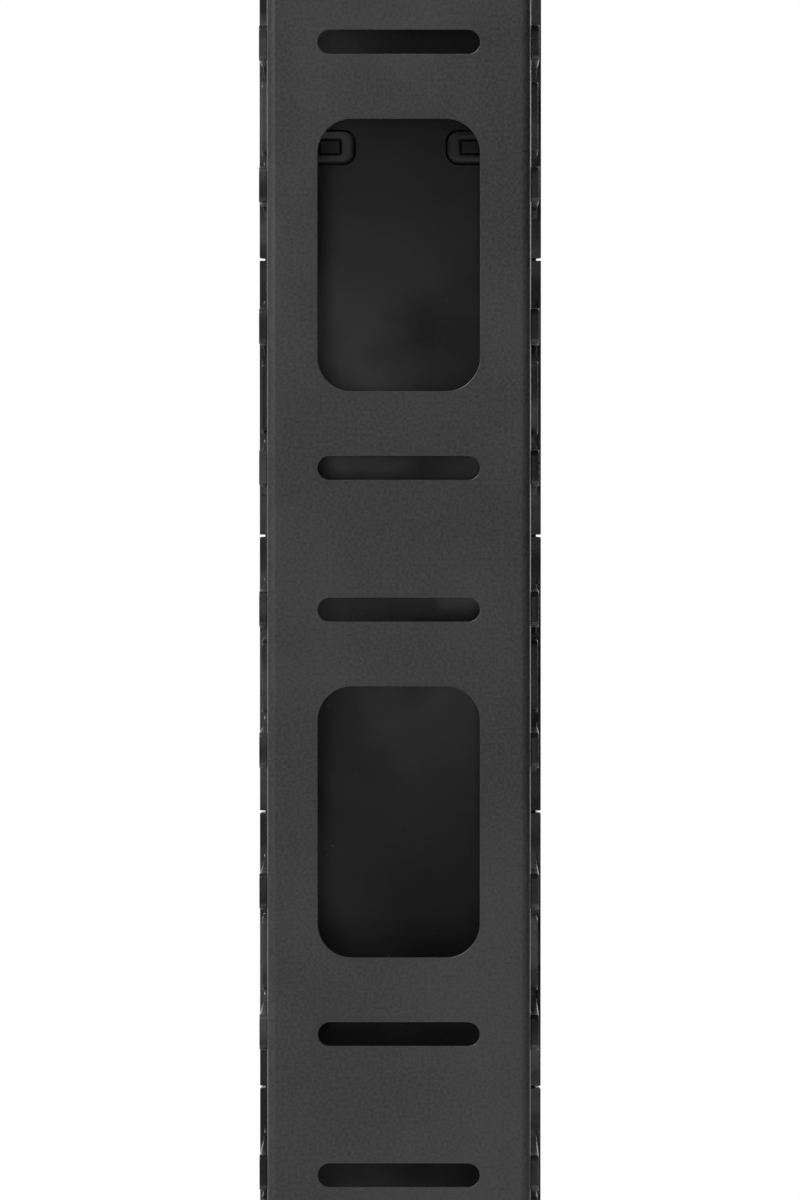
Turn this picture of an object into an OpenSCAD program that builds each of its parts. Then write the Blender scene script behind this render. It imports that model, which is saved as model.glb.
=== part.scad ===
// Vertical cable manager for an equipment rack, twenty rack units high.
// A folded steel channel carries a row of moulded finger modules along each side, and a front
// cover grips the round rods at the ends of the fingers with its clips and hinges on them.
// X runs across, Z up. Y = 0 is the mounting face at the back, and the cover faces -Y.
// Left and right are as seen from the front, so left is at -X.

/* [Overall] */
// Height of one rack unit
unit_h = 44.45; // [40:0.05:50]
// Width over the folded sides of the back channel
channel_w = 82.8; // [78:0.2:92]
// Depth from the mounting face to the outside of the front cover
depth = 76.2; // [72:0.2:90]

/* [Back channel] */
// Thickness of the steel sheet
sheet_t = 1.5; // [1:0.1:2]
// Outer radius of the folds
bend_r = 3; // [2.1:0.1:3.5]
// Depth of the folded sides, from the mounting face
flange_d = 24; // [22:0.5:28]
// Width of a cable window
window_w = 50.8; // [40:0.2:60]
// Height of a cable window
window_h = 85.2; // [60:0.2:100]
// Corner radius of a cable window
window_r = 10.7; // [5:0.1:18]
// Length of a mounting slot, end to end
slot_l = 50.8; // [30:0.2:60]
// Width of a mounting slot
slot_w = 7.5; // [6:0.1:10]
// Height of the mounting slots above and below the middle of a window, in rack units
slot_units = 1.5; // [1.3:0.05:1.8]

/* [Finger modules] */
// Width of a finger along the channel
finger_w = 11.4; // [10.4:0.2:14]
// Thickness of a finger
finger_t = 2.6; // [2.4:0.1:4]
// Distance from the mounting face to the root of a finger
finger_y = 6; // [4:0.5:8]
// Corner radius at the root of a finger
root_r = 2; // [1:0.1:3]
// Fillet where a finger meets its bar
finger_fillet = 4; // [2:0.5:5]
// Depth of the bar behind the axis of the hinge rod
bar_d = 9.5; // [9:0.5:12]
// Radius of the round bead along the front of the bar
bead_r = 3.7; // [3.4:0.1:4.2]
// Chamfer at the ends of the bead
bead_chamfer = 0.6; // [0.3:0.1:1]
// Gap between the bar's raised band and the axis of the hinge rod
band_gap = 4.4; // [4.3:0.1:5]
// Gap between one module and the next
module_gap = 0.75; // [0.3:0.05:2]
// Width of the guard between two fingers
guard_w = 23; // [16:0.5:24]
// Length of the guard behind the bar
guard_l = 20.5; // [8:0.5:24]
// Corner radius of the guard
guard_r = 2; // [1:0.1:3]
// Skin of a finger under its moulding pockets
skin_t = 1.3; // [1:0.1:1.8]
// Thickness of the ribs round the moulding pockets
rib_t = 1.4; // [1:0.1:2]
// Corner radius of the moulding pockets
core_r = 0.8; // [0.4:0.1:1]

/* [Hinge rods] */
// Radius of a hinge rod
rod_r = 1.9; // [1.6:0.1:2]
// Distance of the rod's axis outside the channel's side
rod_out = 0.15; // [0:0.05:0.6]
// Distance from the inside of the cover to the rod's axis
rod_front = 7.3; // [6.6:0.1:9]
// Clear length of rod to each side of the module's middle
rod_half = 15.5; // [15:0.1:15.8]

/* [Rivets] */
// Radius of a rivet's shank
rivet_r = 2; // [1.6:0.1:2.4]
// Radius of a rivet's head
rivet_head_r = 3.5; // [3:0.1:3.8]
// Height of a rivet's head
rivet_head_h = 1.1; // [0.8:0.1:1.2]
// Distance of the rivets from the mounting face
rivet_y = 14.5; // [13:0.5:16]

/* [Front cover] */
// Wall of the front cover
cover_t = 2; // [1.5:0.1:2.5]
// Outer radius of the cover's edges
cover_r = 3; // [2.6:0.1:4]
// Reach of the cover past the axis of a hinge rod
cover_out = 2.3; // [2:0.1:2.6]
// Gap between the cover's lip and the bead
lip_gap = 0.6; // [0.4:0.1:1]

/* [Cover clips] */
// Height of a clip along the cover
clip_h = 10; // [9:0.5:12]
// Thickness of a clip's foot
clip_t = 2; // [1.6:0.1:2.2]
// Distance from the cover's middle to the inner end of a clip
clip_x = 15.3; // [13:0.1:18]
// Corner radius at the inner end of a clip
clip_r = 3.5; // [2:0.5:4.5]
// Rounding of a clip's rim
clip_rim_r = 1.2; // [0.6:0.1:1.6]
// Depth of the seat that a clip stands in, in the cover
seat_d = 0.8; // [0.4:0.1:1]
// Free space round a clip in its seat
seat_gap = 0.5; // [0.3:0.1:1]
// Distance of a clip from the middle of the module that it grips
clip_offset = 7.75; // [4:0.05:9.2]
// Thickness of the jaw round the rod
jaw_t = 1.6; // [1.2:0.1:1.7]
// Half angle of the jaw's mouth
jaw_mouth = 70; // [60:1:80]
// Height of the pocket in a clip
pocket_h = 5.5; // [4.5:0.1:6]
// Length of the pocket in a clip
pocket_l = 7.8; // [6:0.2:10]
// Distance from the clip's inner end to its pocket
pocket_x = 3.6; // [2.5:0.1:5]
// Free space round the locating lug in the pocket
lug_gap = 0.7; // [0.3:0.1:1]
// Corner radius of the pocket and of the lug
pocket_r = 0.8; // [0.4:0.1:1.2]

/* [Fits] */
// Running clearance between jaw and rod
jaw_fit = 0.08; // [0.03:0.01:0.1]
// Free space round the jaw in the module
jaw_gap = 0.42; // [0.3:0.02:0.8]
// Clearance round a rivet's shank
rivet_fit = 0.1; // [0.05:0.05:0.2]
// Clearance round a rivet's head and at the outer end of a clip
seat_fit = 0.25; // [0.1:0.05:0.4]

/* [Hidden] */
$fn = 96;
// Rack units between one finger module and the next, and between one window and the next
MODULE_UNITS = 2;
WINDOW_UNITS = 4;
// Windows along the channel, and finger modules along each side
WINDOWS = 5;
MODULES = WINDOWS * WINDOW_UNITS / MODULE_UNITS;
// Moulding pockets along the bar of a finger module
BAR_POCKETS = 6;
// Rack units from the middle to the modules that the cover clips grip, lowest row first
CLIP_UNITS = [-9, -5, 5, 9];

side_x = channel_w / 2;
length = MODULES * MODULE_UNITS * unit_h;
module_l = MODULE_UNITS * unit_h - module_gap;
rod_x = side_x + rod_out;
rod_y = depth - cover_t - rod_front;
bar_y = rod_y - bar_d;
jaw_inner_r = rod_r + jaw_fit;
jaw_r = jaw_inner_r + jaw_t;
head_seat_h = rivet_head_h + 0.1;
cover_half = rod_x + cover_out;
inside_y = depth - cover_t;
lip_y = rod_y + bead_r + lip_gap;
clip_end = cover_half - cover_r - seat_fit;
lug_h = 0.8 * clip_t;
eps = 0.01;

// Height of the middle of a finger module, counted from the bottom
function module_z(i) = (i - (MODULES + 1) / 2) * MODULE_UNITS * unit_h;
// Height of the middle of a window, counted from the bottom
function window_z(i) = (i - (WINDOWS + 1) / 2) * WINDOW_UNITS * unit_h;
// Height of a row of cover clips, which sit towards the cover's middle in their modules
function clip_z(i) = CLIP_UNITS[i - 1] * unit_h - sign(CLIP_UNITS[i - 1]) * clip_offset;

// Puts a part drawn for the right side on the side asked for
module on_side(s) {
    if (s > 0)
        children();
    else
        mirror([1, 0, 0]) children();
}

// Extrudes an outline drawn in Y and Z along X, from x0 over t
module plate(x0, t) {
    translate([x0, 0, 0])
        rotate([90, 0, 90])
            linear_extrude(t)
                children();
}

// Rectangle about the origin with rounded corners
module rounded(w, h, r) {
    square([w - 2 * r, h], center = true);
    square([w, h - 2 * r], center = true);
    for (sx = [-1, 1], sy = [-1, 1])
        translate([sx * (w / 2 - r), sy * (h / 2 - r)])
            circle(r);
}

// Strip of length l and width w, with rounded corners at its far end
module strip(l, w, r) {
    translate([0, -w / 2])
        square([l - r, w]);
    translate([0, r - w / 2])
        square([l, w - 2 * r]);
    for (s = [-1, 1])
        translate([l - r, s * (w / 2 - r)])
            circle(r);
}

// Fillet that fills the corner between the two axes
module fillet(r) {
    difference() {
        translate([-eps, -eps])
            square(r + eps);
        translate([r, r])
            circle(r);
    }
}

// --- Back channel ---

// Section of the folded sheet, seen from above
module channel_section() {
    difference() {
        folded_outline(side_x, bend_r);
        folded_outline(side_x - sheet_t, bend_r - sheet_t, sheet_t);
    }
}

// Solid outline of the channel to a half width, with rounded back corners
module folded_outline(half, r, back = 0) {
    translate([-half + r, -flange_d])
        square([2 * (half - r), flange_d - back]);
    translate([-half, -flange_d - (back > 0 ? 1 : 0)])
        square([2 * half, flange_d - back - r + (back > 0 ? 1 : 0)]);
    for (s = [-1, 1])
        translate([s * (half - r), -back - r])
            circle(r);
}

// Window and slots through the back of one length of the channel, drawn in X and Z
module back_openings() {
    rounded(window_w, window_h, window_r);
    for (s = [-1, 1])
        translate([0, s * slot_units * unit_h])
            slot();
}

module slot() {
    square([slot_l - slot_w, slot_w], center = true);
    for (s = [-1, 1])
        translate([s * (slot_l - slot_w) / 2, 0])
            circle(slot_w / 2);
}

// One length of the channel, with the window in its middle
module channel_length(i) {
    color([0.12, 0.12, 0.125])
        difference() {
            translate([0, 0, window_z(i) - WINDOW_UNITS * unit_h / 2])
                linear_extrude(WINDOW_UNITS * unit_h)
                    channel_section();
            translate([0, 1, window_z(i)])
                rotate([90, 0, 0])
                    linear_extrude(sheet_t + 2)
                        back_openings();
            for (s = [-1, 1], m = [2 * i - 1, 2 * i])
                on_side(s)
                    rivet_places(m)
                        cylinder(r = rivet_r + rivet_fit, h = 2 * sheet_t + 2, center = true);
        }
}

// --- Finger modules ---

// Two rivet places of a module on the outside of the channel's right side, pointing out
module rivet_places(i) {
    for (s = [-1, 1])
        translate([side_x, -rivet_y, module_z(i) + s * unit_h / 2])
            rotate([0, 90, 0])
                children();
}

// Side view of a module: a bar, two fingers and the guard between them
module module_outline() {
    translate([-rod_y, -module_l / 2])
        square([bar_d, module_l]);
    translate([-rod_y, 0])
        strip(bar_d + guard_l, guard_w, guard_r);
    for (s = [-1, 1])
        translate([-rod_y, s * unit_h / 2]) {
            strip(rod_y - finger_y, finger_w, root_r);
            for (m = [0, 1])
                mirror([0, m])
                    translate([bar_d, finger_w / 2])
                        fillet(finger_fillet);
        }
}

// Moulding pockets of the fingers, on the side towards the channel
module finger_pockets() {
    w = finger_w - 2 * rib_t;
    y0 = flange_d + rib_t;
    l = (bar_y - y0 - rib_t) / 2;
    for (s = [-1, 1], k = [0, 1])
        translate([-y0 - k * (l + rib_t) - l / 2, s * unit_h / 2])
            rounded(l, w, core_r);
}

// Row of moulding pockets along the bar, on the same side
module bar_pockets() {
    y0 = bar_y + rib_t;
    y1 = rod_y - bead_r - rib_t;
    l = (module_l - rib_t) / BAR_POCKETS - rib_t;
    for (k = [1:BAR_POCKETS])
        translate([-(y0 + y1) / 2, (k - (BAR_POCKETS + 1) / 2) * (l + rib_t)])
            rounded(y1 - y0, l, core_r);
}

// Raised band that carries the line of the bead along the outside of the bar
module bar_band() {
    translate([side_x, band_gap - rod_y, -module_l / 2])
        cube([rod_x + bead_r - side_x, bar_d - band_gap, module_l]);
}

// Round bead along the bar, chamfered at both ends
module bead() {
    h = module_l / 2;
    c = bead_chamfer;
    rotate_extrude()
        polygon([[0, -h], [bead_r - c, -h], [bead_r, c - h], [bead_r, h - c], [bead_r - c, h], [0, h]]);
}

module finger_module(s, i) {
    color([0.09, 0.09, 0.095])
        on_side(s)
            translate([0, 0, module_z(i)]) {
                difference() {
                    union() {
                        plate(side_x, finger_t)
                            module_outline();
                        bar_band();
                        translate([rod_x, -rod_y, 0])
                            bead();
                    }
                    // Room for the cover clips round the rod
                    translate([rod_x, -rod_y, -rod_half])
                        cylinder(r = jaw_r + jaw_gap, h = 2 * rod_half);
                    plate(side_x - 1, 1 + finger_t - skin_t) {
                        finger_pockets();
                        bar_pockets();
                    }
                    translate([0, 0, -module_z(i)])
                        rivet_places(i) {
                            cylinder(r = rivet_r + rivet_fit, h = 3 * finger_t, center = true);
                            translate([0, 0, finger_t - head_seat_h])
                                cylinder(r = rivet_head_r + seat_fit, h = finger_t);
                        }
                }
                translate([rod_x, -rod_y, -rod_half - 1])
                    cylinder(r = rod_r, h = 2 * rod_half + 2);
            }
}

// --- Rivets ---

// Blind rivet with its head recessed in the finger and its tail inside the channel
module rivet() {
    grip = finger_t - head_seat_h + sheet_t;
    tail_h = 1.4 * rivet_r;
    difference() {
        rotate_extrude()
            polygon([
                [0, -sheet_t - tail_h],
                [rivet_r, -sheet_t - tail_h],
                [1.5 * rivet_r, -sheet_t - tail_h / 2],
                [1.5 * rivet_r, -sheet_t],
                [rivet_r, -sheet_t],
                [rivet_r, grip - sheet_t],
                [rivet_head_r, grip - sheet_t],
                [rivet_head_r, grip - sheet_t + rivet_head_h / 3],
                [rivet_r, grip - sheet_t + rivet_head_h],
                [0, grip - sheet_t + rivet_head_h]
            ]);
        // Hole that the broken stem leaves in the head
        translate([0, 0, grip - sheet_t])
            cylinder(r = rivet_r / 2, h = 2 * rivet_head_h);
    }
}

module finger_rivets(s) {
    color([0.1, 0.1, 0.1])
        on_side(s)
            for (i = [1:MODULES])
                rivet_places(i)
                    rivet();
}

// --- Front cover ---

// Section of the cover: a flat front with rounded edges and short lips
module cover_section() {
    difference() {
        cover_outline(cover_half, cover_r, depth);
        cover_outline(cover_half - cover_t, cover_r - cover_t, inside_y);
        translate([-depth, -lip_y])
            square([2 * depth, depth]);
    }
}

// Outline with rounded front corners, reaching back to the rods
module cover_outline(half, r, front) {
    translate([-half, -front + r])
        square([2 * half, front - r - rod_y]);
    translate([-half + r, -front])
        square([2 * (half - r), front - rod_y]);
    for (s = [-1, 1])
        translate([s * (half - r), -front + r])
            circle(r);
}

// Outline of a clip's pocket, drawn in X and Z and inset all round
module pocket_outline(inset) {
    translate([clip_x + pocket_x + pocket_l / 2, 0])
        rounded(pocket_l - 2 * inset, pocket_h - 2 * inset, pocket_r);
}

// Locating lug for a clip, in the clip's pocket
module clip_lug() {
    translate([0, lug_h - inside_y, 0])
        rotate([90, 0, 0])
            linear_extrude(lug_h + (cover_t + seat_d) / 2)
                pocket_outline(lug_gap);
}

// Shallow seat in the cover for the foot of a clip
module clip_seat() {
    translate([0, 1 - inside_y, 0])
        rotate([90, 0, 0])
            linear_extrude(seat_d + 1)
                clip_foot(-seat_gap, clip_end + seat_fit);
}

// Places of the clips on both sides of the cover
module clip_places() {
    for (s = [-1, 1], i = [1:len(CLIP_UNITS)])
        on_side(s)
            translate([0, 0, clip_z(i)])
                children();
}

module front_cover() {
    color([0.08, 0.08, 0.085]) {
        difference() {
            translate([0, 0, -length / 2])
                linear_extrude(length)
                    cover_section();
            clip_places()
                clip_seat();
        }
        clip_places()
            clip_lug();
    }
}

// --- Cover clips ---

// Outline of a clip's foot to its outer end, drawn in X and Z and inset at its other edges
module clip_foot(inset, end = clip_end) {
    translate([end, 0])
        mirror([1, 0])
            strip(end - clip_x - inset, clip_h - 2 * inset, clip_r - inset);
}

// Section of a clip's foot from a side inwards, with its soft rounded rim at the bottom
module rim_section(w) {
    r = clip_rim_r;
    translate([0, r])
        square([w, clip_t + seat_d - r]);
    square([w - r, 2 * r]);
    translate([w - r, r])
        circle(r);
}

// Foot of a clip lying on its back: two straight sides and an inner end, joined by round corners
module clip_body() {
    for (s = [0, 1])
        mirror([0, s, 0])
            translate([clip_x + clip_r, clip_h / 2 - clip_r, 0]) {
                rotate([0, 0, 90])
                    rotate_extrude(angle = 90)
                        rim_section(clip_r);
                translate([clip_end - clip_x - clip_r, clip_r - clip_h / 2, 0])
                    rotate([90, 0, -90])
                        linear_extrude(clip_end - clip_x - clip_r)
                            mirror([1, 0])
                                rim_section(clip_h / 2);
            }
    translate([clip_x + clip_r, clip_h / 2 - clip_r, 0])
        rotate([90, 0, 0])
            linear_extrude(clip_h - 2 * clip_r)
                mirror([1, 0])
                    rim_section(clip_r);
}

// Jaw round the rod with its neck, seen from above
module jaw_section() {
    reach = 2 * jaw_r;
    difference() {
        union() {
            translate([rod_x, -rod_y])
                circle(jaw_r);
            translate([rod_x - jaw_r, -inside_y + clip_t / 2])
                square([clip_end - rod_x + jaw_r, rod_front - clip_t / 2]);
        }
        translate([rod_x, -rod_y]) {
            circle(jaw_inner_r);
            polygon([[0, 0], reach * [sin(jaw_mouth), cos(jaw_mouth)], [0, 2 * reach],
                reach * [-sin(jaw_mouth), cos(jaw_mouth)]]);
        }
    }
}

module cover_clip(s, i) {
    color([0.07, 0.07, 0.075])
        on_side(s)
            translate([0, 0, clip_z(i)]) {
                difference() {
                    translate([0, clip_t - inside_y, 0])
                        rotate([90, 0, 0])
                            clip_body();
                    translate([0, clip_t + 1 - inside_y, 0])
                        rotate([90, 0, 0])
                            linear_extrude(clip_t + 2)
                                pocket_outline(0);
                }
                translate([0, 0, -clip_h / 2])
                    linear_extrude(clip_h)
                        jaw_section();
            }
}

channel_length(1);  // back_channel_1
channel_length(2);  // back_channel_2
channel_length(3);  // back_channel_3
channel_length(4);  // back_channel_4
channel_length(5);  // back_channel_5
finger_module(-1, 1);  // finger_module_left_01
finger_module(-1, 2);  // finger_module_left_02
finger_module(-1, 3);  // finger_module_left_03
finger_module(-1, 4);  // finger_module_left_04
finger_module(-1, 5);  // finger_module_left_05
finger_module(-1, 6);  // finger_module_left_06
finger_module(-1, 7);  // finger_module_left_07
finger_module(-1, 8);  // finger_module_left_08
finger_module(-1, 9);  // finger_module_left_09
finger_module(-1, 10);  // finger_module_left_10
finger_module(1, 1);  // finger_module_right_01
finger_module(1, 2);  // finger_module_right_02
finger_module(1, 3);  // finger_module_right_03
finger_module(1, 4);  // finger_module_right_04
finger_module(1, 5);  // finger_module_right_05
finger_module(1, 6);  // finger_module_right_06
finger_module(1, 7);  // finger_module_right_07
finger_module(1, 8);  // finger_module_right_08
finger_module(1, 9);  // finger_module_right_09
finger_module(1, 10);  // finger_module_right_10
finger_rivets(-1);  // finger_rivets_left
finger_rivets(1);  // finger_rivets_right
front_cover();
cover_clip(-1, 1);  // cover_clip_left_1
cover_clip(-1, 2);  // cover_clip_left_2
cover_clip(-1, 3);  // cover_clip_left_3
cover_clip(-1, 4);  // cover_clip_left_4
cover_clip(1, 1);  // cover_clip_right_1
cover_clip(1, 2);  // cover_clip_right_2
cover_clip(1, 3);  // cover_clip_right_3
cover_clip(1, 4);  // cover_clip_right_4
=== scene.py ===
# %% [markdown]
# # A vertical cable manager
# This lesson dresses a rack accessory: a tall folded steel channel with windows and slots, rows of
# moulded cable fingers along both sides, and a long cover held by clips. The solid model is already
# built, and it arrives here as a fixed frame. We add a camera, light, and the finish of every piece.

# %% Load the frame
import math

import bmesh
import bpy
from mathutils import Matrix, Vector


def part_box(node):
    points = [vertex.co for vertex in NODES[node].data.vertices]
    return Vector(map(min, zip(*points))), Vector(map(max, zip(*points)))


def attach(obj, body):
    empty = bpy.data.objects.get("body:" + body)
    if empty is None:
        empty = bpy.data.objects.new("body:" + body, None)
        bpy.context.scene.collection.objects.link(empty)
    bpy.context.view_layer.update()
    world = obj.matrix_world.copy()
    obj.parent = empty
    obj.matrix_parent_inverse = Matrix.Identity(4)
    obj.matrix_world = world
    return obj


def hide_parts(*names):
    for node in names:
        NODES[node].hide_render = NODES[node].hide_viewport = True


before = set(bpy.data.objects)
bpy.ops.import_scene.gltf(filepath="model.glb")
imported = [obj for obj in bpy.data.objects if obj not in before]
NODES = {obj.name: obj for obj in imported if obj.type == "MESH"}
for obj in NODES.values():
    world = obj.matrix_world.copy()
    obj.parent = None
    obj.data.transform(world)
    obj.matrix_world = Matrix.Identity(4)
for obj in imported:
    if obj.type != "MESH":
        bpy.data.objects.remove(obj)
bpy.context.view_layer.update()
print("pieces in the frame:", len(NODES))

# %% [markdown]
# The sizes that the looks depend on are read from the frame, so nothing here is measured twice.
# `MM` turns millimetres into the metres that Blender works in. The Standard view transform shows each
# colour as it is written, which suits a dark part on a white ground.

# %% Sizes taken from the frame
MM = 0.001
CHANNEL_LENGTHS = sorted(n for n in NODES if n.startswith("back_channel"))
SIDE_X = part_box(CHANNEL_LENGTHS[-1])[1].x
HALF_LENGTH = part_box(CHANNEL_LENGTHS[-1])[1].z
FINGER_MODULES = sorted(n for n in NODES if n.startswith("finger_module"))
COVER_CLIPS = sorted(n for n in NODES if n.startswith("cover_clip"))
bpy.context.scene.view_settings.view_transform = "Standard"
print("channel is", round(2 * SIDE_X / MM, 1), "mm wide and", round(2 * HALF_LENGTH / MM), "mm long")

# %% [markdown]
# ## Camera
# The object is seen from behind, where it is fastened to the rack. A long lens a little over two
# metres away keeps the long sides almost parallel. The camera stands slightly to one side and
# above, and tips down by less than two degrees, which makes the channel narrow towards the bottom.

# %% Camera
def add_camera(place, target, lens):
    data = bpy.data.cameras.new("studio_camera")
    data.lens = lens
    data.sensor_width = 36.0
    data.clip_start, data.clip_end = 0.05, 50.0
    camera = bpy.data.objects.new("studio_camera", data)
    camera.location = place
    camera.rotation_euler = (target - place).to_track_quat("-Z", "Y").to_euler()
    bpy.context.scene.collection.objects.link(camera)
    bpy.context.scene.camera = camera
    return camera


CAMERA = add_camera(
    place=Vector((-0.01748, 2.1414, 0.12436)), target=Vector((-0.00036, 0.0, 0.06972)), lens=204.96)
print("camera stands", round(CAMERA.location.length, 2), "m away")

# %% [markdown]
# ## Studio
# A black object on white needs light that comes from somewhere. The world is white for the camera
# and in reflections behind the object, and dark in front of it, so that the coat shows its own grey
# and only a folded edge gleams. The key lamp stands to the front and to one side, which leaves the
# other edge dark. A lamp behind draws that edge as a thin line and lights the cover's front, and a
# small lamp near the lens puts a soft glow on the smooth inside of the cover.

# %% Node helpers
def new_tree(block):
    block.use_nodes = True
    block.node_tree.nodes.clear()
    return block.node_tree


def add(tree, kind, label=None, **settings):
    """Adds a node. Settings that name a node property are set, and the rest fill its inputs."""
    node = tree.nodes.new(kind)
    if label:
        node.label = label
    for key, value in settings.items():
        if hasattr(node, key):
            setattr(node, key, value)
        else:
            node.inputs[key.replace("_", " ")].default_value = value
    return node


def link(tree, source, output, target, socket):
    tree.links.new(source.outputs[output], target.inputs[socket])


def feed(tree, socket, value):
    """Sets a socket to a number, or links it from a (node, output) pair."""
    if isinstance(value, tuple):
        tree.links.new(value[0].outputs[value[1]], socket)
    else:
        socket.default_value = value


def math_node(tree, operation, *values, clamp=False):
    """Adds a Math node fed by numbers or by (node, output) pairs."""
    node = add(tree, "ShaderNodeMath", operation=operation, use_clamp=clamp)
    for index, value in enumerate(values):
        feed(tree, node.inputs[index], value)
    return node


def ramp(tree, source, start, end, low=0.0, high=1.0, label=None, smooth=True):
    """Maps a (node, output) pair from start..end to low..high, and holds it level past the ends."""
    node = add(tree, "ShaderNodeMapRange", label, interpolation_type="SMOOTHSTEP" if smooth else "LINEAR")
    feed(tree, node.inputs["Value"], source)
    for name, value in (("From Min", start), ("From Max", end), ("To Min", low), ("To Max", high)):
        feed(tree, node.inputs[name], value)
    return node


# %% World
def build_world(diffuse_level, dim_level, front_level, bright_level):
    """Soft light of one level, and reflections that go from dim at one side to bright at the other."""
    world = bpy.data.worlds.new("studio_world")
    bpy.context.scene.world = world
    tree = new_tree(world)
    coords = add(tree, "ShaderNodeTexCoord")
    axes = add(tree, "ShaderNodeSeparateXYZ")
    link(tree, coords, "Generated", axes, 0)
    front = ramp(tree, (axes, "X"), -0.6, 0.0, dim_level, front_level, "dark on one side")
    side = ramp(tree, (axes, "X"), 0.08, 0.5, 0.0, bright_level - front_level, "bright on the other")
    across = math_node(tree, "ADD", (front, "Result"), (side, "Result"))
    behind = ramp(tree, (axes, "Y"), -0.5, -0.95, label="white behind")
    seen = add(tree, "ShaderNodeMix", "seen in reflections")
    link(tree, behind, "Result", seen, "Factor")
    link(tree, across, "Value", seen, "A")
    seen.inputs["B"].default_value = 1.0
    path = add(tree, "ShaderNodeLightPath")
    lit = add(tree, "ShaderNodeMix", "reflections or soft light")
    link(tree, path, "Is Glossy Ray", lit, "Factor")
    lit.inputs["A"].default_value = diffuse_level
    link(tree, seen, "Result", lit, "B")
    # Rays from the camera, or on their way through glass, see plain white.
    clear = math_node(tree, "MAXIMUM", (path, "Is Camera Ray"), (path, "Is Transmission Ray"))
    level = add(tree, "ShaderNodeMix", "world level")
    link(tree, clear, "Value", level, "Factor")
    link(tree, lit, "Result", level, "A")
    level.inputs["B"].default_value = 1.0
    background = add(tree, "ShaderNodeBackground", Color=(1, 1, 1, 1))
    link(tree, level, "Result", background, "Strength")
    output = add(tree, "ShaderNodeOutputWorld")
    link(tree, background, "Background", output, "Surface")


build_world(diffuse_level=0.12, dim_level=0.02, front_level=0.12, bright_level=0.3)


# %% Lamps and floor
def add_softbox(name, place, target, size, power):
    data = bpy.data.lights.new(name, "AREA")
    data.shape = "RECTANGLE"
    data.size, data.size_y = size
    data.energy = power
    lamp = bpy.data.objects.new(name, data)
    lamp.location = place
    lamp.rotation_euler = (Vector(target) - Vector(place)).to_track_quat("-Z", "Y").to_euler()
    bpy.context.scene.collection.objects.link(lamp)


add_softbox("edge_softbox", (-1.0, -1.6, 0.8), target=(0, 0, 0), size=(1.2, 1.8), power=8)
add_softbox("key_softbox", (1.3, 1.6, 1.6), target=(0, 0, 0.05), size=(1.0, 1.0), power=75)
add_softbox("lens_softbox", (0.05, 2.2, 0.07), target=(0, 0, 0.08), size=(0.25, 0.3), power=0.28)


def add_floor(height, radius, glow=0.35, paper_ends=0.35, white_starts=0.95):
    """A pale paper disc that glows a little, and turns pure white between two shares of its radius."""
    mesh = bpy.data.meshes.new("studio_floor")
    bm = bmesh.new()
    bmesh.ops.create_circle(bm, cap_ends=True, segments=96, radius=radius)
    bm.to_mesh(mesh)
    bm.free()
    floor = bpy.data.objects.new("studio_floor", mesh)
    floor.location.z = height
    bpy.context.scene.collection.objects.link(floor)
    material = bpy.data.materials.new("studio_floor_paper")
    tree = new_tree(material)
    coords = add(tree, "ShaderNodeTexCoord")
    distance = add(tree, "ShaderNodeVectorMath", operation="LENGTH")
    link(tree, coords, "Object", distance, 0)
    fade = ramp(tree, (distance, "Value"), paper_ends * radius, white_starts * radius, glow)
    paper = add(tree, "ShaderNodeBsdfDiffuse", Color=(0.9, 0.9, 0.9, 1))
    white = add(tree, "ShaderNodeEmission", Color=(1, 1, 1, 1), Strength=1.0)
    mixed = add(tree, "ShaderNodeMixShader")
    link(tree, fade, "Result", mixed, "Fac")
    link(tree, paper, "BSDF", mixed, 1)
    link(tree, white, "Emission", mixed, 2)
    output = add(tree, "ShaderNodeOutputMaterial")
    link(tree, mixed, "Shader", output, "Surface")
    mesh.materials.append(material)


FLOOR_GAP = 0.5 * MM
add_floor(-HALF_LENGTH - FLOOR_GAP, radius=1.6)

# %% [markdown]
# ## Shared surface effects
# Every black surface here is uneven at close range: powder coat has a fine orange peel and a faint
# mottle, moulded plastic a spark-eroded grain, and both carry a little dust and some smudges. Each
# effect is one node group with named sockets, so a finish only chooses its values.

# %% Group helpers
def new_group(name, inputs, outputs):
    """Starts a shader node group. Inputs are (name, kind, default); outputs are (name, kind)."""
    group = bpy.data.node_groups.new(name, "ShaderNodeTree")
    for label, kind, default in inputs:
        socket = group.interface.new_socket(label, in_out="INPUT", socket_type="NodeSocket" + kind)
        socket.default_value = default
    for label, kind in outputs:
        group.interface.new_socket(label, in_out="OUTPUT", socket_type="NodeSocket" + kind)
    return group, group.nodes.new("NodeGroupInput"), group.nodes.new("NodeGroupOutput")


def noise(tree, vector, scale, detail=2.0, roughness=0.5):
    """Adds a Noise Texture. vector is a (node, output) pair, and scale a number or such a pair."""
    node = add(tree, "ShaderNodeTexNoise", Detail=detail, Roughness=roughness)
    feed(tree, node.inputs["Vector"], vector)
    feed(tree, node.inputs["Scale"], scale)
    return node


# %% Surface grain: orange peel with a finer grain on it
def build_grain_group():
    group, inp, out = new_group(
        "surface_grain",
        [("Peel Scale", "Float", 900.0), ("Grain Scale", "Float", 3200.0), ("Grain Share", "Float", 0.4)],
        [("Height", "Float"), ("Mottle", "Float")],
    )
    coords = add(group, "ShaderNodeTexCoord")
    peel = noise(group, (coords, "Object"), (inp, "Peel Scale"), detail=1.0)
    grain = noise(group, (coords, "Object"), (inp, "Grain Scale"), roughness=0.6)
    share = math_node(group, "MULTIPLY", (grain, "Fac"), (inp, "Grain Share"))
    height = math_node(group, "ADD", (peel, "Fac"), (share, "Value"))
    link(group, height, "Value", out, "Height")
    mottle = ramp(group, (height, "Value"), 0.5, 0.9, label="stretched to full contrast", smooth=False)
    link(group, mottle, "Result", out, "Mottle")
    return group


GRAIN = build_grain_group()


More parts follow.
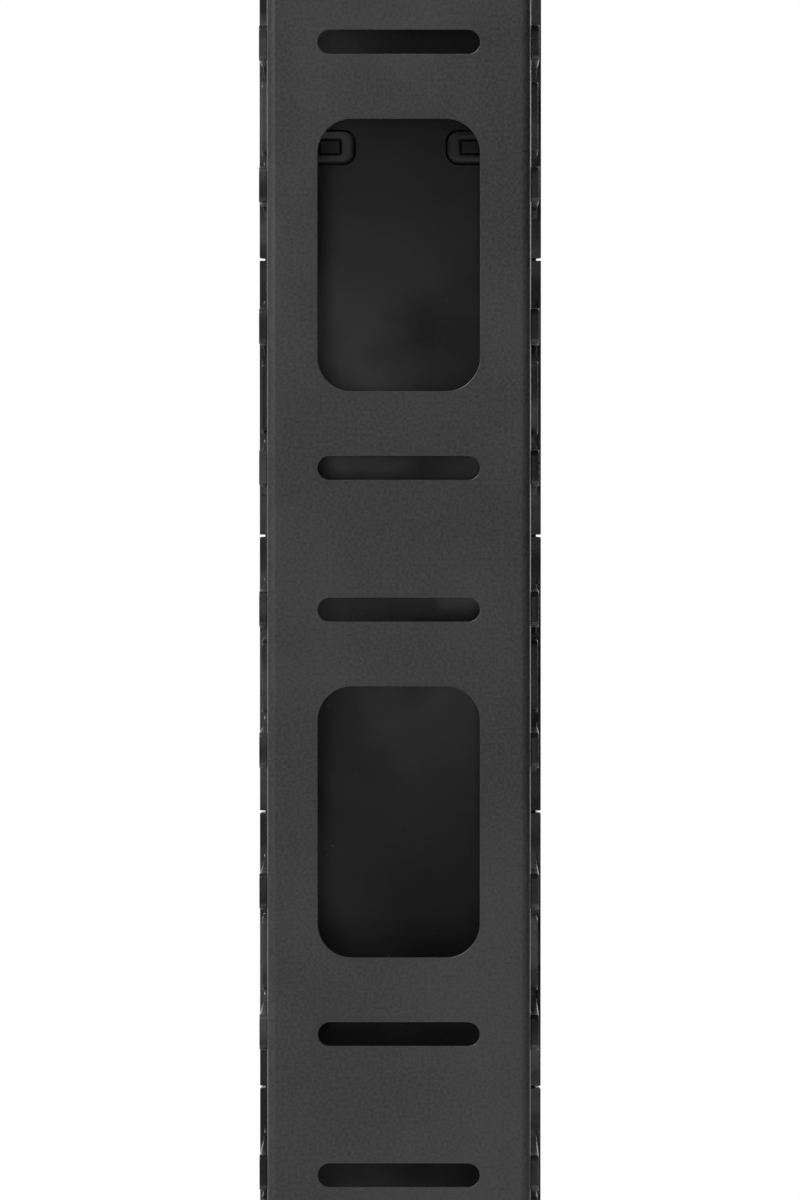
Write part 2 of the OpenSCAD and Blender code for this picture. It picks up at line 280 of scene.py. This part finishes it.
# %% Dust and smudges: large soft patches and small specks
def build_dust_group():
    group, inp, out = new_group(
        "dust_and_smudges",
        [("Patch Scale", "Float", 14.0), ("Speck Scale", "Float", 700.0), ("Amount", "Float", 0.5)],
        [("Smudge", "Float"), ("Dust", "Float")],
    )
    coords = add(group, "ShaderNodeTexCoord")
    patch = noise(group, (coords, "Object"), (inp, "Patch Scale"), detail=4.0, roughness=0.55)
    soft = ramp(group, (patch, "Fac"), 0.42, 0.66, label="soft edged patches")
    smudge = math_node(group, "MULTIPLY", (soft, "Result"), (inp, "Amount"))
    link(group, smudge, "Value", out, "Smudge")
    speck = noise(group, (coords, "Object"), (inp, "Speck Scale"), detail=0.0)
    sharp = ramp(group, (speck, "Fac"), 0.80, 0.88, label="only the peaks", smooth=False)
    dust = math_node(group, "MULTIPLY", (sharp, "Result"), (inp, "Amount"))
    link(group, dust, "Value", out, "Dust")
    return group


DUST = build_dust_group()
print("shared groups:", [g.name for g in (GRAIN, DUST)])

# %% [markdown]
# ## Finishes
# One function builds every finish from the same parts, so the lesson is in the values: powder coat
# is dark grey and rough with a soft peel, moulded nylon is blacker and a little smoother, and the
# extruded cover is the smoothest. The nylon also gets a painted sheen: soft lighter and darker
# streaks painted into its colour and drawn out along each finger, standing in for the reflections
# that glossy plastic shows.

# %% Finish builder
BLUE_SHARE = 1.01                          # the blacks lean a little to blue
DUST_COLOUR = (0.045, 0.044, 0.043, 1)
SMUDGE_LIGHTENS = 0.5                      # how far a full smudge moves the colour to its light end
SMUDGE_DULLS = 0.14                        # and how much it adds to the roughness
# Painted sheen: soft lighter and darker streaks in the nylon's colour that stand in for the reflections
# on glossy plastic.
PAINTED_SHEEN_SCALE = 75.0
PAINTED_SHEEN_DRAWN_OUT = (0.25, 0.25, 1.0)       # X and Y are squeezed, so that streaks follow a finger


def grey(level):
    return (level, level, BLUE_SHARE * level, 1)


def build_finish(name, tone, mottle, roughness, peel, grain, depth, dust, varies=0.0, painted_sheen_streaks=0.0):
    """A black finish. tone is its grey, mottle how far that spreads, depth the height of its grain,
    varies the spread between one moulding and the next, and painted_sheen_streaks how far a painted sheen
    (soft lighter and darker streaks that stand in for reflections) spreads within one."""
    material = bpy.data.materials.new(name)
    tree = new_tree(material)
    shader = add(tree, "ShaderNodeBsdfPrincipled")
    surface = add(tree, "ShaderNodeGroup")
    surface.node_tree = GRAIN
    surface.inputs["Peel Scale"].default_value = peel
    surface.inputs["Grain Scale"].default_value = grain
    dirt = add(tree, "ShaderNodeGroup")
    dirt.node_tree = DUST
    dirt.inputs["Amount"].default_value = dust

    colour = add(tree, "ShaderNodeMix", "mottled colour", data_type="RGBA")
    colour.inputs["A"].default_value = grey(tone * (1 - mottle))
    colour.inputs["B"].default_value = grey(tone * (1 + mottle))
    cloudy = math_node(
        tree, "MULTIPLY_ADD", (dirt, "Smudge"), SMUDGE_LIGHTENS, (surface, "Mottle"), clamp=True)
    link(tree, cloudy, "Value", colour, "Factor")
    dusty = add(tree, "ShaderNodeMix", "dust", data_type="RGBA")
    dusty.inputs["B"].default_value = DUST_COLOUR
    link(tree, colour, "Result", dusty, "A")
    link(tree, dirt, "Dust", dusty, "Factor")
    if varies:
        batch = add(tree, "ShaderNodeAttribute", attribute_name="moulding_shade")
        level = ramp(tree, (batch, "Fac"), 0.0, 1.0, 1.0 - varies, 1.0 + varies,
                     label="shade of one moulding", smooth=False)
        # Painted sheen: stretched noise lightens and darkens the colour in soft streaks along the finger,
        # in place of reflections on the glossy nylon. It multiplies the moulding's own random shade.
        coords = add(tree, "ShaderNodeTexCoord")
        drawn = add(tree, "ShaderNodeMapping", "drawn out along the finger", Scale=PAINTED_SHEEN_DRAWN_OUT)
        link(tree, coords, "Object", drawn, "Vector")
        painted_sheen_noise = noise(tree, (drawn, "Vector"), PAINTED_SHEEN_SCALE, detail=1.0)
        painted_sheen_factor = ramp(tree, (painted_sheen_noise, "Fac"), 0.38, 0.62, 1.0 - painted_sheen_streaks, 1.0 + painted_sheen_streaks, "streaks within it")
        shade = math_node(tree, "MULTIPLY", (level, "Result"), (painted_sheen_factor, "Result"))
        shaded = add(tree, "ShaderNodeVectorMath", operation="SCALE")
        link(tree, dusty, "Result", shaded, 0)
        link(tree, shade, "Value", shaded, "Scale")
        link(tree, shaded, "Vector", shader, "Base Color")
    else:
        link(tree, dusty, "Result", shader, "Base Color")

    matt = math_node(tree, "MULTIPLY_ADD", (dirt, "Smudge"), SMUDGE_DULLS, roughness)
    link(tree, matt, "Value", shader, "Roughness")
    bump = add(tree, "ShaderNodeBump", Strength=1.0, Distance=depth)
    link(tree, surface, "Height", bump, "Height")
    link(tree, bump, "Normal", shader, "Normal")
    output = add(tree, "ShaderNodeOutputMaterial")
    link(tree, shader, "BSDF", output, "Surface")
    return material


FINISHES = {
    "powder_coated_steel": build_finish(
        "powder_coated_steel",
        tone=0.029, mottle=0.28, roughness=0.34, peel=1000, grain=3200, depth=0.03 * MM, dust=0.6),
    "finger_nylon": build_finish(
        "finger_nylon",
        tone=0.024, mottle=0.15, roughness=0.22, peel=600, grain=2600, depth=0.008 * MM, dust=0.4,
        varies=0.25, painted_sheen_streaks=0.65),
    "cover_plastic": build_finish(
        "cover_plastic",
        tone=0.011, mottle=0.1, roughness=0.17, peel=500, grain=2600, depth=0.006 * MM, dust=0.9),
    "clip_plastic": build_finish(
        "clip_plastic",
        tone=0.045, mottle=0.1, roughness=0.25, peel=700, grain=2600, depth=0.006 * MM, dust=0.2),
    "rivet_black": build_finish(
        "rivet_black",
        tone=0.02, mottle=0.1, roughness=0.3, peel=400, grain=2000, depth=0.004 * MM, dust=0.1),
}
print("finishes:", ", ".join(FINISHES))

# %% [markdown]
# ## Rounded edges
# A folded or moulded edge is never knife sharp, and its tiny rounding is what catches the light.
# The frame's meshes can't be changed, so each piece is copied, its loose triangles are joined into
# clean faces, and a Bevel modifier rounds the edges. A Weighted Normal modifier after it lets the
# large faces win, so that they stay flat while the narrow rounds blend from one to the next.

# %% Clean copies of the frame's nodes
MERGE_DISTANCE = 0.002 * MM
SAME_HEIGHT = 0.01 * MM
SAME_PLANE = math.radians(0.5)


def drop_joints(bm, heights):
    """Deletes the faces where two lengths of the channel meet, so that they merge into one."""
    inner = [f for f in bm.faces for z in heights if all(abs(v.co.z - z) < SAME_HEIGHT for v in f.verts)]
    bmesh.ops.delete(bm, geom=inner, context="FACES")


def clean_copy(nodes, name, offset=Vector((0, 0, 0))):
    """A merged copy of some nodes' meshes, moved by offset, with flat faces joined."""
    bm = bmesh.new()
    for node in nodes:
        bm.from_mesh(NODES[node].data)
    drop_joints(bm, [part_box(node)[0].z for node in nodes[1:]])
    bmesh.ops.remove_doubles(bm, verts=bm.verts, dist=MERGE_DISTANCE)
    bmesh.ops.dissolve_limit(bm, angle_limit=SAME_PLANE, verts=bm.verts, edges=bm.edges)
    bmesh.ops.translate(bm, verts=bm.verts, vec=offset)
    for face in bm.faces:
        face.smooth = True
    mesh = bpy.data.meshes.new(name)
    bm.to_mesh(mesh)
    bm.free()
    piece = bpy.data.objects.new(name, mesh)
    bpy.context.scene.collection.objects.link(piece)
    return piece


# %% Edge rounding
def round_edges(piece, width, segments=2, angle=32.0):
    """Rounds every edge that is sharper than the angle, in degrees."""
    bevel = piece.modifiers.new("rounded_edges", "BEVEL")
    bevel.width = width
    bevel.segments = segments
    bevel.limit_method = "ANGLE"
    bevel.angle_limit = math.radians(angle)
    bevel.miter_outer = "MITER_ARC"
    bevel.use_clamp_overlap = False
    even = piece.modifiers.new("flat_faces_stay_flat", "WEIGHTED_NORMAL")
    even.mode = "FACE_AREA"
    even.weight = 100
    even.keep_sharp = True


def apply_modifiers(piece):
    """Turns what the modifiers make into the piece's own mesh."""
    depsgraph = bpy.context.evaluated_depsgraph_get()
    mesh = bpy.data.meshes.new_from_object(piece.evaluated_get(depsgraph))
    piece.modifiers.clear()
    piece.data = mesh


# %% Channel, cover and clips
def dress(nodes, name, body, slot, width):
    """Makes one finished piece that stands for some nodes and rides on their body."""
    piece = clean_copy(nodes, name)
    round_edges(piece, width)
    apply_modifiers(piece)
    piece.data.materials.clear()
    piece.data.materials.append(FINISHES[slot])
    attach(piece, body)
    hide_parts(*nodes)
    print(piece.name, "has", len(piece.data.polygons), "faces")


SHEET_EDGE, COVER_EDGE, MOULDED_EDGE = 0.25 * MM, 0.35 * MM, 0.3 * MM
dress(CHANNEL_LENGTHS, "back_channel", "channel", "powder_coated_steel", SHEET_EDGE)
dress(["front_cover"], "front_cover_shell", "cover", "cover_plastic", COVER_EDGE)
for node in COVER_CLIPS:
    dress([node], node + "_finished", "cover", "clip_plastic", MOULDED_EDGE)

# %% [markdown]
# ## Rows of finger modules
# Each side of the channel carries ten mouldings from one tool, set end to end at a fixed pitch. One
# Geometry Nodes tree repeats a single dressed module along the channel. Each copy gets a random
# shade, kept as an attribute that the nylon finish reads, because mouldings never match exactly.

# %% Tree that repeats a piece along the channel
def build_row_tree():
    tree = bpy.data.node_groups.new("row_along_channel", "GeometryNodeTree")
    face = tree.interface
    face.new_socket("Piece", in_out="INPUT", socket_type="NodeSocketGeometry")
    for label, kind in (("Count", "Int"), ("Pitch", "Float"), ("Seed", "Int"), ("Finish", "Material")):
        face.new_socket(label, in_out="INPUT", socket_type="NodeSocket" + kind)
    face.new_socket("Row", in_out="OUTPUT", socket_type="NodeSocketGeometry")
    inp, out = tree.nodes.new("NodeGroupInput"), tree.nodes.new("NodeGroupOutput")

    gaps = math_node(tree, "SUBTRACT", (inp, "Count"), 1.0)
    span = math_node(tree, "MULTIPLY", (gaps, "Value"), (inp, "Pitch"))
    start = math_node(tree, "MULTIPLY", (span, "Value"), -0.5)
    first, step = tree.nodes.new("ShaderNodeCombineXYZ"), tree.nodes.new("ShaderNodeCombineXYZ")
    link(tree, start, "Value", first, "Z")
    link(tree, inp, "Pitch", step, "Z")
    places = add(tree, "GeometryNodeMeshLine", mode="OFFSET")
    link(tree, inp, "Count", places, "Count")
    link(tree, first, "Vector", places, "Start Location")
    link(tree, step, "Vector", places, "Offset")

    copies = add(tree, "GeometryNodeInstanceOnPoints")
    link(tree, places, "Mesh", copies, "Points")
    link(tree, inp, "Piece", copies, "Instance")
    shade = add(tree, "FunctionNodeRandomValue", data_type="FLOAT")
    link(tree, inp, "Seed", shade, "Seed")
    batch = add(tree, "GeometryNodeStoreNamedAttribute", data_type="FLOAT", domain="INSTANCE")
    batch.inputs["Name"].default_value = "moulding_shade"
    link(tree, copies, "Instances", batch, "Geometry")
    tree.links.new(next(o for o in shade.outputs if o.enabled), batch.inputs["Value"])
    real = add(tree, "GeometryNodeRealizeInstances")
    link(tree, batch, "Geometry", real, "Geometry")
    finish = add(tree, "GeometryNodeSetMaterial")
    link(tree, real, "Geometry", finish, "Geometry")
    link(tree, inp, "Finish", finish, "Material")
    link(tree, finish, "Geometry", out, "Row")
    return tree


ROW_TREE = build_row_tree()
print("tree inputs:", [i.name for i in ROW_TREE.interface.items_tree if i.in_out == "INPUT"])


# %% Make a row from one piece
def make_row(piece, name, count, pitch, seed, slot):
    """Repeats a piece that is centred on height zero, and leaves a plain mesh."""
    modifier = piece.modifiers.new("row", "NODES")
    modifier.node_group = ROW_TREE
    sockets = {i.name: i.identifier for i in ROW_TREE.interface.items_tree if i.in_out == "INPUT"}
    settings = {"Count": count, "Pitch": pitch, "Seed": seed, "Finish": FINISHES[slot]}
    for label, value in settings.items():
        modifier[sockets[label]] = value
    apply_modifiers(piece)
    piece.name = name
    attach(piece, "channel")
    print(name, "has", len(piece.data.polygons), "faces")
    return piece


# %% Finger modules on both sides
for side, seed in (("left", 3), ("right", 4)):
    nodes = [n for n in FINGER_MODULES if side in n]
    low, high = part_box(nodes[0])
    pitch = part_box(nodes[1])[0].z - low.z
    module = clean_copy(nodes[:1], "finger_module_" + side, Vector((0, 0, -(low.z + high.z) / 2)))
    round_edges(module, MOULDED_EDGE)
    apply_modifiers(module)
    row = make_row(module, "finger_modules_" + side, len(nodes), pitch, seed, "finger_nylon")
    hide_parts(*nodes)

# %% [markdown]
# ## Rivets
# Blind rivets hold the modules. Each has a low domed head with the broken stem's hole in the middle,
# sunk in the finger, and a bulged tail inside the channel. A profile spun round its axis makes one,
# and the same tree as before sets it at every rack unit, on both sides at once.

# %% One pair of rivets
def spin_profile(bm, profile, turns, place):
    """Spins (radius, height) points round an axis and closes the ends. place turns it into position."""
    rings = []
    for radius, height in profile:
        ring = [bm.verts.new(place @ Vector((radius * math.cos(a), radius * math.sin(a), height)))
                for a in (2 * math.pi * k / turns for k in range(turns))]
        rings.append(ring)
    for lower, upper in zip(rings, rings[1:]):
        for k in range(turns):
            bm.faces.new((lower[k], lower[(k + 1) % turns], upper[(k + 1) % turns], upper[k]))
    bm.faces.new(list(reversed(rings[0])))
    bm.faces.new(rings[-1])


DOME_ANGLES = (0, 15, 30, 45, 60, 72)      # in degrees, from the head's rim to the stem's hole
RIM_SHARE = 0.3                            # the upright rim's share of the head's height
# The bulged tail: (radius over the shank's radius, share of the way from the tail's end to the seat)
TAIL_BULGE = ((0.75, 0.0), (1.1, 0.05), (1.45, 0.2), (1.5, 0.33), (1.3, 0.44), (1.0, 0.47))


def rivet_profile(head, shank, seat, top, tail):
    """From the tail inside the channel, round the domed head, to the floor of the stem's hole."""
    dome = [(head * math.cos(a), seat + (top - seat) * (RIM_SHARE + (1 - RIM_SHARE) * math.sin(a)))
            for a in map(math.radians, DOME_ANGLES)]
    bulge = [(shank * r, tail + (seat - tail) * t) for r, t in TAIL_BULGE]
    crown = dome[-1][1]
    hole = [(0.5 * shank, crown + 0.01 * MM), (0.46 * shank, crown - 0.06 * MM), (0.44 * shank, seat)]
    return bulge + [(shank, seat), (0.96 * head, seat)] + dome + hole


# %% Rivets at every rack unit
HEAD_HEIGHT = 1.1 * MM
SHANK_SHARE = 4 / 7                        # of the head's radius


def add_rivets(turns=32, seed=11):
    low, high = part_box("finger_rivets_right")
    head = (high.y - low.y) / 2
    profile = rivet_profile(head, head * SHANK_SHARE, high.x - HEAD_HEIGHT, high.x, tail=low.x)
    bm = bmesh.new()
    centre = Matrix.Translation((0, (low.y + high.y) / 2, 0))
    for side in (1, -1):
        spin_profile(bm, profile, turns, centre @ Matrix.Rotation(side * math.pi / 2, 4, "Y"))
    bmesh.ops.recalc_face_normals(bm, faces=bm.faces)
    for face in bm.faces:
        face.smooth = True
    mesh = bpy.data.meshes.new("rivet_pair")
    bm.to_mesh(mesh)
    bm.free()
    pair = bpy.data.objects.new("rivet_pair", mesh)
    bpy.context.scene.collection.objects.link(pair)
    count = len(FINGER_MODULES)  # two fingers to a module, and half of the modules on each side
    pitch = (high.z - low.z - 2 * head) / (count - 1)
    rivets = make_row(pair, "finger_rivets", count, pitch, seed, "rivet_black")
    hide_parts("finger_rivets_left", "finger_rivets_right")


add_rivets()
